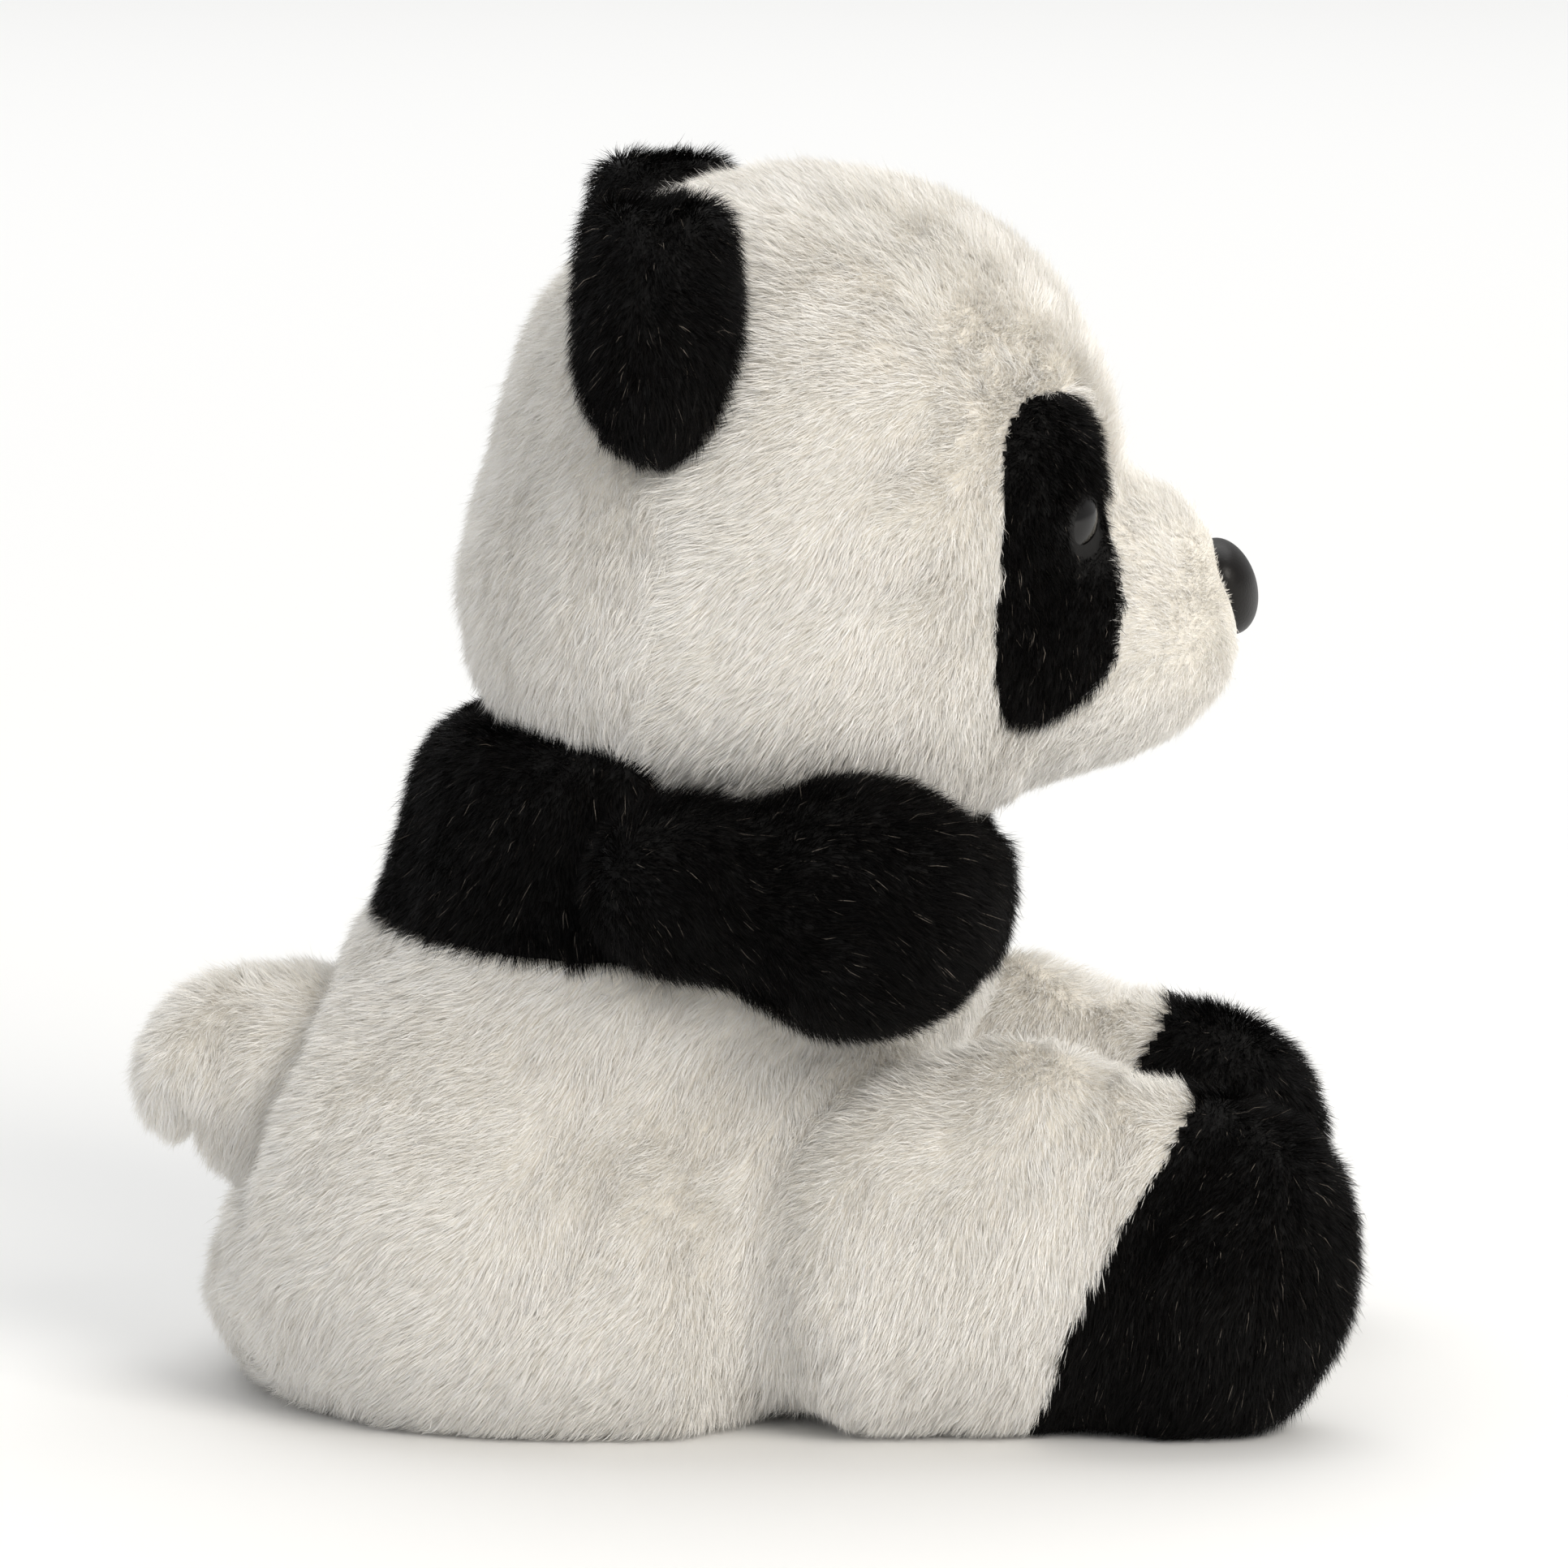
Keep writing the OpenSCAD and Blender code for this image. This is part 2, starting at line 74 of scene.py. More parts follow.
# how the pile of each kind of panel is cut and brushed: length in mm, lean from upright in
# degrees, the way that it is brushed (fall turns it down towards the sides), and how many
# fibres stand on a square millimetre
pile = {
    "body": {"yarn": "white", "length": 3.0, "lean": 54, "brush": (0, 0.62, -0.78), "density": 26},
    "seat": {"yarn": "white", "length": 1.6, "lean": 70, "brush": (0, 1, 0), "density": 7},
    "shoulder_band": {"yarn": "black", "length": 3.0, "lean": 54, "brush": (0, -0.3, -0.95), "density": 26},
    "head_back": {"yarn": "white", "length": 3.0, "lean": 54, "brush": (0, 0.15, -1), "density": 26},
    "head_side": {"yarn": "white", "length": 3.0, "lean": 54, "brush": (0, 0.85, 0.45), "fall": 1.0,
                  "density": 27},
    "muzzle": {"yarn": "short_white", "length": 1.9, "lean": 58, "brush": (0, 1, -0.15), "density": 32},
    "chin": {"yarn": "short_white", "length": 2.1, "lean": 56, "brush": (0, 1, -0.3), "density": 30},
    "eye_patch": {"yarn": "black", "length": 2.4, "lean": 44, "brush": (0, 0.5, -0.6), "density": 32},
    "thigh": {"yarn": "white", "length": 3.0, "lean": 54, "brush": (0, 0.35, -0.9), "density": 26},
    "foot_upper": {"yarn": "black", "length": 2.9, "lean": 54, "brush": (0, 0.35, -0.9), "density": 26},
    "foot_sole": {"yarn": "black", "length": 2.8, "lean": 52, "brush": (0, 0.3, -0.9), "density": 26},
    "arm": {"yarn": "black", "length": 3.0, "lean": 52, "brush": (0, -0.8, -0.45), "density": 27},
    "ear": {"yarn": "black", "length": 2.8, "lean": 48, "brush": (0, -0.1, -1), "density": 27},
    "tail": {"yarn": "white", "length": 3.0, "lean": 52, "brush": (0, 0.5, -0.85), "density": 26},
}


def kindOf(panel):
    for kind in ("shoulder_band", "eye_patch", "head_back", "head_side", "muzzle", "chin", "seat",
                 "body", "arm", "ear", "tail"):
        if panel.startswith(kind):
            return kind
    if panel.endswith("thigh"):
        return "thigh"
    return "foot_upper" if panel.endswith("upper") else "foot_sole"


def linear(hexColour):
    parts = [int(hexColour[i:i + 2], 16) / 255 for i in (1, 3, 5)]
    return [c / 12.92 if c <= 0.04045 else ((c + 0.055) / 1.055) ** 2.4 for c in parts] + [1]


def addNode(tree, kind, settings=None, values=None, links=None):
    node = tree.nodes.new(kind)
    for name, value in (settings or {}).items():
        setattr(node, name, value)
    for name, value in (values or {}).items():
        node.inputs[name].default_value = value
    for name, source in (links or {}).items():
        tree.links.new(source, node.inputs[name])
    return node


def startMaterial(name, values):
    material = bpy.data.materials.new(name)
    material.use_nodes = True
    tree = material.node_tree
    tree.nodes.clear()
    shader = addNode(tree, "ShaderNodeBsdfPrincipled", None, values)
    addNode(tree, "ShaderNodeOutputMaterial", None, None, {"Surface": shader.outputs["BSDF"]})
    return material, tree, shader


# acrylic pile: each fibre is a fine smooth rod, so it is soft in the mass and glints singly; a plush is
# spun from lots that differ a little, so each yarn is a few tints, but the palest tints are painted glints:
# the pure white of the white yarn and the two palest of the black yarn are paler fibres that stand for the
# shine of single fibres
fibres = {
    "white": [("#fbf9f5", 0.5, 0.36), ("#f6f3ed", 0.55, 0.28), ("#fffefc", 0.4, 0.22),
              # the last tint, #ffffff, is a painted glint
              ("#efeae1", 0.55, 0.1), ("#ffffff", 0.22, 0.04)],
    "short_white": [("#fcfaf6", 0.6, 0.4), ("#f8f5f0", 0.65, 0.3), ("#fffefc", 0.5, 0.25),
                    ("#f0ece4", 0.6, 0.05)],
    "black": [("#070606", 0.5, 0.44), ("#040404", 0.6, 0.3), ("#0d0b0a", 0.45, 0.2),
              # the last two tints, #1c1917 and #857d74, are painted glints: paler fibres that stand for
              # shine on the black pile
              ("#1c1917", 0.35, 0.052), ("#857d74", 0.3, 0.008)],
}


def fibreMaterials(yarn):
    made = []
    for index, (tint, roughness, share) in enumerate(fibres[yarn]):
        made.append(startMaterial(f"acrylic_fibre_{yarn}_{index + 1}", {
            "Base Color": linear(tint),
            "Roughness": roughness,
            "IOR": 1.5,
            "Specular IOR Level": 0.1 if yarn == "black" else 0.4,
        })[0])
    return made


# the cloths: polyester backing is knitted, so it shows rows of small loops; cotton pouch cloth
# is woven finer; carded polyester filling is felted, with loose curls
cloths = {
    "white": {"name": "knitted_backing_white", "base": "#f3efe7", "shade": "#e7e1d6", "loop": 0.9 * mm},
    "short_white": {"name": "knitted_backing_short_white", "base": "#f6f3ec", "shade": "#ebe6dc",
                    "loop": 0.9 * mm},
    "black": {"name": "knitted_backing_black", "base": "#060505", "shade": "#0a0908", "loop": 0.9 * mm},
    "pouch": {"name": "woven_cotton_pouch", "base": "#e4e0d4", "shade": "#d3cebf", "loop": 0.6 * mm},
    "filling": {"name": "carded_polyester_filling", "base": "#f4f3ef", "shade": "#e6e4de",
                "loop": 1.8 * mm},
}


def clothMaterial(kind):
    cloth = cloths[kind]
    material, tree, shader = startMaterial(cloth["name"], {"Roughness": 0.9, "IOR": 1.5})
    place = addNode(tree, "ShaderNodeTexCoord")
    loops = addNode(tree, "ShaderNodeTexVoronoi", {"feature": "F1"},
                    {"Scale": 1 / cloth["loop"], "Randomness": 0.55},
                    {"Vector": place.outputs["Object"]})
    mottle = addNode(tree, "ShaderNodeTexNoise", None,
                     {"Scale": 1 / (6 * mm), "Detail": 4, "Roughness": 0.6},
                     {"Vector": place.outputs["Object"]})
    mix = addNode(tree, "ShaderNodeMix", {"data_type": "RGBA"},
                  {"A": linear(cloth["base"]), "B": linear(cloth["shade"])},
                  {"Factor": mottle.outputs["Fac"]})
    bump = addNode(tree, "ShaderNodeBump", None, {"Strength": 0.5, "Distance": cloth["loop"] / 5},
                   {"Height": loops.outputs["Distance"]})
    tree.links.new(mix.outputs["Result"], shader.inputs["Base Color"])
    tree.links.new(bump.outputs["Normal"], shader.inputs["Normal"])
    return material


# injection-moulded parts: grain comes from the face of the mould, polish from how it was finished
plastics = {
    # acrylic, cast in a polished mould: black, even and glossy
    "eye": {"name": "moulded_acrylic_eye", "base": "#070606", "tint": "#0c0a09", "roughness": 0.12,
            "shine": 0.4, "grain": 0.5 * mm, "depth": 0.004 * mm},
    # soft PVC from a spark-eroded mould: fine leathery grain, so the shine is broad
    "nose": {"name": "grained_pvc_nose", "base": "#0d0b0a", "tint": "#161311", "roughness": 0.38,
             "shine": 0.25, "grain": 0.28 * mm, "depth": 0.05 * mm},
    # natural polypropylene, straight from the mould: milky and slightly waxy
    "washer": {"name": "moulded_polypropylene_washer", "base": "#dcdcd6", "tint": "#e6e6e0",
               "roughness": 0.4, "shine": 0.5, "grain": 0.6 * mm, "depth": 0.01 * mm},
}


def moulded(piece):
    plastic = plastics[piece]
    material, tree, shader = startMaterial(plastic["name"], {
        "IOR": 1.49, "Specular IOR Level": plastic["shine"]})
    place = addNode(tree, "ShaderNodeTexCoord")
    grain = addNode(tree, "ShaderNodeTexNoise", None,
                    {"Scale": 1 / plastic["grain"], "Detail": 3, "Roughness": 0.55},
                    {"Vector": place.outputs["Object"]})
    mix = addNode(tree, "ShaderNodeMix", {"data_type": "RGBA"},
                  {"A": linear(plastic["base"]), "B": linear(plastic["tint"])},
                  {"Factor": grain.outputs["Fac"]})
    rough = addNode(tree, "ShaderNodeMapRange", None,
                    {"To Min": plastic["roughness"] * 0.85, "To Max": plastic["roughness"] * 1.15},
                    {"Value": grain.outputs["Fac"]})
    bump = addNode(tree, "ShaderNodeBump", None, {"Strength": 0.6, "Distance": plastic["depth"]},
                   {"Height": grain.outputs["Fac"]})
    tree.links.new(mix.outputs["Result"], shader.inputs["Base Color"])
    tree.links.new(rough.outputs["Result"], shader.inputs["Roughness"])
    tree.links.new(bump.outputs["Normal"], shader.inputs["Normal"])
    return material


fibreSets = {yarn: fibreMaterials(yarn) for yarn in fibres}
backings = {yarn: clothMaterial(yarn) for yarn in fibres}
print("materials ready")


def jointAt(name):
    return np.array(joints[name]["pos_m"])


def arraysOf(obj):
    mesh = obj.data
    mesh.calc_loop_triangles()
    points = np.zeros(len(mesh.vertices) * 3)
    mesh.vertices.foreach_get("co", points)
    faces = np.zeros(len(mesh.loop_triangles) * 3, int)
    mesh.loop_triangles.foreach_get("vertices", faces)
    return points.reshape(-1, 3), faces.reshape(-1, 3)


def treeOf(names):
    points = []
    faces = []
    count = 0
    for name in names:
        p, f = arraysOf(frame["nodes"][name])
        points.append(p)
        faces.append(f + count)
        count += len(p)
    return BVHTree.FromPolygons(np.vstack(points).tolist(), np.vstack(faces).tolist())


def boxOf(names):
    lows, highs = zip(*[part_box(name) for name in names])
    return Vector(map(min, *lows)), Vector(map(max, *highs))


panelTrees = {name: treeOf([name]) for names in forms.values() for name in names}


# a closed skin over the panels: rays run in to the middle of the form and stop at the cloth
def castSkin(names, detail):
    tree = treeOf(names)
    low, high = boxOf(names)
    middle = (low + high) / 2
    reach = (high - low).length
    ball = bmesh.new()
    bmesh.ops.create_icosphere(ball, subdivisions=detail, radius=1)
    missed = []
    for v in ball.verts:
        way = v.co.normalized()
        hit = tree.ray_cast(middle + way * reach, -way, reach)[0]
        if hit is None or (hit - middle).length < 3 * mm:
            missed.append(v)
        else:
            v.co = hit
    gone = set(missed)
    while gone:
        closed = []
        for v in gone:
            near = [e.other_vert(v) for e in v.link_edges if e.other_vert(v) not in gone]
            if near:
                radius = sum((n.co - middle).length for n in near) / len(near)
                closed.append((v, middle + v.co.normalized() * radius))
        for v, co in closed:
            v.co = co
            gone.discard(v)
    return ball


def newObject(name, mesh):
    obj = bpy.data.objects.new(name, mesh)
    bpy.context.scene.collection.objects.link(obj)
    return obj


def toObject(name, ball):
    mesh = bpy.data.meshes.new(name)
    ball.to_mesh(mesh)
    ball.free()
    return newObject(name, mesh)


def applyModifiers(obj):
    depsgraph = bpy.context.evaluated_depsgraph_get()
    mesh = bpy.data.meshes.new_from_object(obj.evaluated_get(depsgraph))
    obj.modifiers.clear()
    obj.data = mesh
    return obj


def remesh(obj, voxel):
    modifier = obj.modifiers.new("remesh", "REMESH")
    modifier.mode = "VOXEL"
    modifier.voxel_size = voxel
    modifier.adaptivity = 0
    applyModifiers(obj)


def getPoints(mesh):
    points = np.zeros(len(mesh.vertices) * 3)
    mesh.vertices.foreach_get("co", points)
    return points.reshape(-1, 3)


def setPoints(mesh, points):
    mesh.vertices.foreach_set("co", np.ascontiguousarray(points, np.float32).ravel())
    mesh.update()


def edgesOf(mesh):
    edges = np.zeros(len(mesh.edges) * 2, int)
    mesh.edges.foreach_get("vertices", edges)
    return edges.reshape(-1, 2)


# moves each point, or a value at it, towards the mean of its neighbours, by its own share
def relax(points, edges, share, rounds):
    counts = np.bincount(edges.ravel(), minlength=len(points))[:, None]
    for step in range(rounds):
        total = np.zeros_like(points)
        np.add.at(total, edges[:, 0], points[edges[:, 1]])
        np.add.at(total, edges[:, 1], points[edges[:, 0]])
        points = points + (total / counts - points) * share[:, None]
    return points


def distancesTo(points, names):
    found = np.zeros((len(names), len(points)))
    for row, name in enumerate(names):
        nearest = panelTrees[name].find_nearest
        found[row] = [nearest(p)[3] for p in points.tolist()]
    return found


def normalsOf(mesh):
    normals = np.zeros(len(mesh.vertices) * 3)
    mesh.vertex_normals.foreach_get("vector", normals)
    return normals.reshape(-1, 3)


stuffing = {
    "pressure": 5.0,       # of the filling on the cloth
    "frames": 20,
    "cap": 1.1 * mm,       # the most that a point may move
    "shrink": 0.5 * mm,    # the skin starts this much smaller, because it swells
    "seamReach": 1.3 * mm, # half width of the cloth that a seam holds down
    "enlarge": 10,         # the cloth solver works best at about a metre
}


def stuff(obj, seamGap):
    mesh = obj.data
    start = getPoints(mesh)
    setPoints(mesh, start * stuffing["enlarge"])
    group = obj.vertex_groups.new(name="seams")
    for index in np.nonzero(seamGap < stuffing["seamReach"])[0].tolist():
        group.add([index], 1.0, "REPLACE")
    modifier = obj.modifiers.new("stuffing", "CLOTH")
    cloth = modifier.settings
    cloth.use_pressure = True
    cloth.uniform_pressure_force = stuffing["pressure"]
    cloth.effector_weights.gravity = 0
    cloth.mass = 0.15
    cloth.tension_stiffness = 8
    cloth.compression_stiffness = 8
    cloth.bending_stiffness = 0.4
    cloth.vertex_group_mass = "seams"
    modifier.point_cache.frame_start = 1
    modifier.point_cache.frame_end = stuffing["frames"]
    scene = bpy.context.scene
    for step in range(1, stuffing["frames"] + 1):
        scene.frame_set(step)
    swollen = obj.evaluated_get(bpy.context.evaluated_depsgraph_get())
    end = getPoints(swollen.data) / stuffing["enlarge"]
    obj.modifiers.clear()
    obj.vertex_groups.clear()
    scene.frame_set(1)
    move = end - start
    far = np.linalg.norm(move, axis=1, keepdims=True)
    print(f"  {obj.name}: cloth moved {far.mean() / mm:.2f} mm on average, {far.max() / mm:.2f} at most")
    move *= np.minimum(1, stuffing["cap"] / np.maximum(far, 1e-9))
    setPoints(mesh, start + move)


# a fold or a hollow pressed into the cloth: where, how wide along each axis, how deep, in mm;
# a depth below zero is where the filling swells it
hollows = {
    "torso": [
        ((-38, -6, 33), (9, 11, 7), 2.0), ((38, -6, 33), (9, 11, 7), 2.0),
        ((-34, -22, 38), (10, 5, 9), 1.2), ((34, -22, 38), (10, 5, 9), 1.2),
        ((-38, 28, 33), (9, 14, 5), 1.3), ((38, 28, 33), (9, 14, 5), 1.3),
        ((-41, -47, 27), (8, 6, 6), 2.2), ((41, -47, 27), (8, 6, 6), 2.2),
        ((0, 33, 46), (40, 14, 9), -2.0),
        ((-27, -60, 25), (12, 8, 11), -1.4), ((27, -60, 25), (12, 8, 11), -1.4),
    ],
    "head": [((0, -44, 90), (12, 7, 6), -1.6), ((0, -28, 59), (15, 8, 6), -2.0)],
}


# how far the cloth stands out of its panels in the frame along each axis, in mm
plump = {"torso": (0.7, 1.2, 0.6), "head": (1.2, 2.0, 0.5), "arm": (0.6, 0.8, 0.6),
         "ear": (0.2, 0.4, 0.2), "tail": (0.8, 1.8, 1.0)}


# how far each point stands out of the nearest of the cast shells
def standOut(points, shells):
    found = []
    for shell in shells:
        near = [shell.find_nearest(p)[:2] for p in points.tolist()]
        on = np.array([n[0] for n in near])
        facing = np.array([n[1] for n in near])
        found.append(((points - on) * facing).sum(axis=1))
    return np.min(found, axis=0)


# swelling and relaxing change the size of a form; it is taken back to its panels, but smoothly,
# so that creases and the pinch of a seam stay
def fitToPanels(points, edges, normals, shells, extra):
    wrong = np.linalg.norm(normals * extra, axis=1) - standOut(points, shells)
    wrong = np.clip(wrong, -1.5 * mm, 3.5 * mm)[:, None]
    return points + normals * relax(wrong, edges, np.full(len(points), 0.7), 10)


# an ear is cut square across its top and narrows to its lower end
earCut = {"square": 6.0, "round": 2.2, "taper": 0.2}


def squareEar(points, side):
    turn = sides[side]
    axis = np.array(joints[f"ear_{side}_flop"]["axis"])
    axis = axis / np.linalg.norm(axis)
    axis = axis if axis[2] < 0 else -axis      # down along the ear
    out = np.cross(axis, (0, 1, 0))
    out = out if out[0] * turn > 0 else -out
    at = jointAt(f"ear_{side}_flop")
    off = points - at
    along, thick, up = off @ axis, off[:, 1], off @ out
    a, b = along / np.abs(along).max(), thick / np.abs(thick).max()
    power = np.where(a < 0, earCut["square"], earCut["round"])
    pointed = np.maximum((np.abs(a) ** power + np.abs(b) ** power) ** (1 / power), 1e-6)
    rise = np.clip(up / (4 * mm), 0, 1)
    grow = 1 + (np.hypot(a, b) / pointed - 1) * rise
    taper = 1 - earCut["taper"] * np.clip(a, 0, 1) ** 1.5 * rise
    along = along * grow
    thick = thick * grow * taper
    return at + along[:, None] * axis + thick[:, None] * np.array((0, 1, 0)) + up[:, None] * out


creaseReach = 9 * mm     # the filling rounds out the fold between body and leg this far from it


def makeSkin(form, obj, shells, names, voxel):
    remesh(obj, voxel)
    mesh = obj.data
    points = getPoints(mesh)
    seamGap = np.sort(distancesTo(points, names), axis=0)[1]
    edges = edgesOf(mesh)
    setPoints(mesh, relax(points, edges, np.full(len(points), 0.5), 2))
    setPoints(mesh, getPoints(mesh) - normalsOf(mesh) * stuffing["shrink"])
    stuff(obj, seamGap)
    crease = np.zeros(len(mesh.vertices))
    if form == "torso":
        ofBody = distancesTo(getPoints(mesh), forms["torso"]).min(axis=0)
        ofLeg = distancesTo(getPoints(mesh), forms["leg_left"] + forms["leg_right"]).min(axis=0)
        crease = np.clip(1.3 - np.abs(ofBody - ofLeg) / creaseReach, 0, 1)
        setPoints(mesh, relax(getPoints(mesh), edges, crease * 0.6, 60))
    setPoints(mesh, relax(getPoints(mesh), edges, np.full(len(points), 0.35), 1))
    extra = np.array(plump[form.split("_")[0]]) * mm
    for step in range(2):
        fitted = fitToPanels(getPoints(mesh), edges, normalsOf(mesh), shells, extra)
        setPoints(mesh, getPoints(mesh) + (fitted - getPoints(mesh)) * (1 - crease)[:, None])
    points = getPoints(mesh)
    if form.startswith("ear"):
        points = squareEar(points, form.split("_")[1])
    normals = normalsOf(mesh)
    for place, spread, depth in hollows.get(form, []):
        off = (points / mm - np.array(place)) / np.array(spread)
        points = points - normals * (depth * mm * np.exp(-(off ** 2).sum(axis=1)))[:, None]
    points[:, 2] = np.maximum(points[:, 2], 0.5 * mm)
    setPoints(mesh, points)
    divide = obj.modifiers.new("divide", "SUBSURF")
    divide.levels = 1
    divide.render_levels = 1
    applyModifiers(obj)
    for face in obj.data.polygons:
        face.use_smooth = True
    return obj


def joinSkins(name, parts):
    whole = bmesh.new()
    for part in parts:
        mesh = bpy.data.meshes.new("part")
        part.to_mesh(mesh)
        part.free()
        whole.from_mesh(mesh)
        bpy.data.meshes.remove(mesh)
    return toObject(name, whole)


# the legs are sewn into the body, so one skin runs over all three; each leg is let out a
# little where it meets the body, so that no slit is left between them
def torsoAndLegs():
    body = castSkin(forms["torso"], 6)
    shells = [BVHTree.FromBMesh(body)]
    parts = [body]
    for side in sides:
        leg = castSkin(forms[f"leg_{side}"], 5)
        leg.normal_update()
        shells.append(BVHTree.FromBMesh(leg))
        for v in leg.verts:
            gap = shells[0].find_nearest(v.co)[3]
            v.co += v.normal * 2.6 * mm * max(0, 1 - gap / (5 * mm))
        parts.append(leg)
    return joinSkins("torso", parts), shells


skins = {}
for form in forms:
    if form.startswith("leg"):
        continue
    if form == "torso":
        names = forms["torso"] + forms["leg_left"] + forms["leg_right"]
        skins[form] = makeSkin(form, *torsoAndLegs(), names, 1.7 * mm)
        continue
    detail, voxel = (6, 1.6 * mm) if form == "head" else (5, 1.1 * mm)
    ball = castSkin(forms[form], detail)
    shells = [BVHTree.FromBMesh(ball)]
    skins[form] = makeSkin(form, toObject(form, ball), shells, forms[form], voxel)
print("skins stuffed:", {name: len(skin.data.polygons) for name, skin in skins.items()})


# for each limb: its joint, and where the cloth would start and end to follow it, from the middle of the
# joint, in mm; only which limbs are listed is read, and no piece is made to follow a limb
crossings = {
    "arm": ("shoulder_{}", (0, 6, 0), (0, -6, 0)),
    "leg": ("hip_{}", (-7, -8, 4), (9, -32, -4)),
    "ear": ("ear_{}_flop", (0, 0, 0), (5, 0, 3)),
    "tail": ("tail_wag", (0, -5, 0), (0, 7, 0)),
}


def attach(obj, panel):
    kind = kindOf(panel)
    limb = "leg" if kind in ("body", "seat", "thigh", "foot_upper", "foot_sole") else kind
    if limb not in crossings:
        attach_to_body(obj, "torso" if kind == "shoulder_band" else "head")
        return
    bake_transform(obj)


def meshFrom(name, points, faces, materials, faceMaterials=None):
    mesh = bpy.data.meshes.new(name)
    points = np.asarray(points, np.float32)
    sizes = np.array([len(f) for f in faces])
    corners = np.concatenate(faces)
    mesh.vertices.add(len(points))
    mesh.vertices.foreach_set("co", points.ravel())
    mesh.loops.add(len(corners))
    mesh.loops.foreach_set("vertex_index", corners.astype(np.int32))
    mesh.polygons.add(len(sizes))
    starts = np.concatenate([[0], np.cumsum(sizes)[:-1]]).astype(np.int32)
    mesh.polygons.foreach_set("loop_start", starts)
    for material in materials:
        mesh.materials.append(material)
    if faceMaterials is not None:
        mesh.polygons.foreach_set("material_index", faceMaterials.astype(np.int32))
    mesh.update(calc_edges=True)
    mesh.validate()
    return newObject(name, mesh)


def faceCorners(mesh):
    starts = np.zeros(len(mesh.polygons), int)
    totals = np.zeros(len(mesh.polygons), int)
    corners = np.zeros(len(mesh.loops), int)
    mesh.polygons.foreach_get("loop_start", starts)
    mesh.polygons.foreach_get("loop_total", totals)
    mesh.loops.foreach_get("vertex_index", corners)
    return [corners[s:s + n] for s, n in zip(starts, totals)]


clothThickness = 0.5 * mm


def cutPanel(panel, skin, faces, part=""):
    kind = kindOf(panel)
    mesh = skin.data
    points = getPoints(mesh)
    inside = points - normalsOf(mesh) * clothThickness
    used = np.unique(np.concatenate(faces))
    place = np.full(len(points), -1)
    place[used] = np.arange(len(used))
    n = len(used)
    outer = [place[f] for f in faces]
    sheet = outer + [f[::-1] + n for f in outer]
    ways = {}
    for f in outer:
        for a, b in zip(f, np.roll(f, -1)):
            ways[(int(a), int(b))] = True
    sheet += [np.array([b, a, a + n, b + n]) for a, b in ways if (b, a) not in ways]
    obj = meshFrom(f"{panel}{part}_cloth", np.vstack([points[used], inside[used]]), sheet,
                   [backings[pile[kind]["yarn"]]])
    for face in obj.data.polygons:
        face.use_smooth = True
    return obj


# smooth noise over space: a sum of waves with wavelengths between two sizes
def ripple(seed, short, long, count=14):
    rng = np.random.default_rng(seed)
    ways = rng.normal(size=(count, 3))
    ways /= np.linalg.norm(ways, axis=1, keepdims=True)
    ways *= (2 * math.pi / np.exp(rng.uniform(math.log(short), math.log(long), count)))[:, None]
    phases = rng.uniform(0, 2 * math.pi, count)
    return lambda points: np.sin(points @ ways.T + phases).sum(axis=1) / math.sqrt(count / 2)


brushing = [ripple(seed, 5 * mm, 26 * mm) for seed in (11, 12, 13)]
tufting = [ripple(seed, 1.1 * mm, 3.2 * mm) for seed in (21, 22, 23)]
lotting = ripple(31, 2.5 * mm, 12 * mm)
fibre = {
    "width": 0.085 * mm,   # drawn wider than the real 0.03 mm, so that it shows
    "bent": 0.25,          # share of fibres that are drawn bent; the rest are straight
    "taper": 0.75,         # width half way up, as a share of the root's
    "stray": 0.012,        # share of fibres that stand long and wild
    "floor": 0.15 * mm,    # no tip goes lower than this
}
neckAt = jointAt("head_turn")


# the axis of a moulded eye or nose: it runs from its washer, inside the head, out to its front
def axisOf(name):
    face = arraysOf(frame["nodes"][name])[0]
    washer = "nose_washer" if name == "nose" else name.replace("eye", "eye_washer")
    behind = arraysOf(frame["nodes"][washer])[0]
    axis = face.mean(axis=0) - behind.mean(axis=0)
    axis /= np.linalg.norm(axis)
    if name == "nose":
        axis[0] = 0
        axis /= np.linalg.norm(axis)
    start = behind.mean(axis=0)
    high = ((face - start) @ axis).max()
    radius = np.linalg.norm((face - start) - ((face - start) @ axis)[:, None] * axis, axis=1).max()
    return start + axis * high, axis, radius


trims = {name: axisOf(name) for name in ("eye_left", "eye_right", "nose")}


def unit(v):
    return v / np.maximum(np.linalg.norm(v, axis=1, keepdims=True), 1e-12)


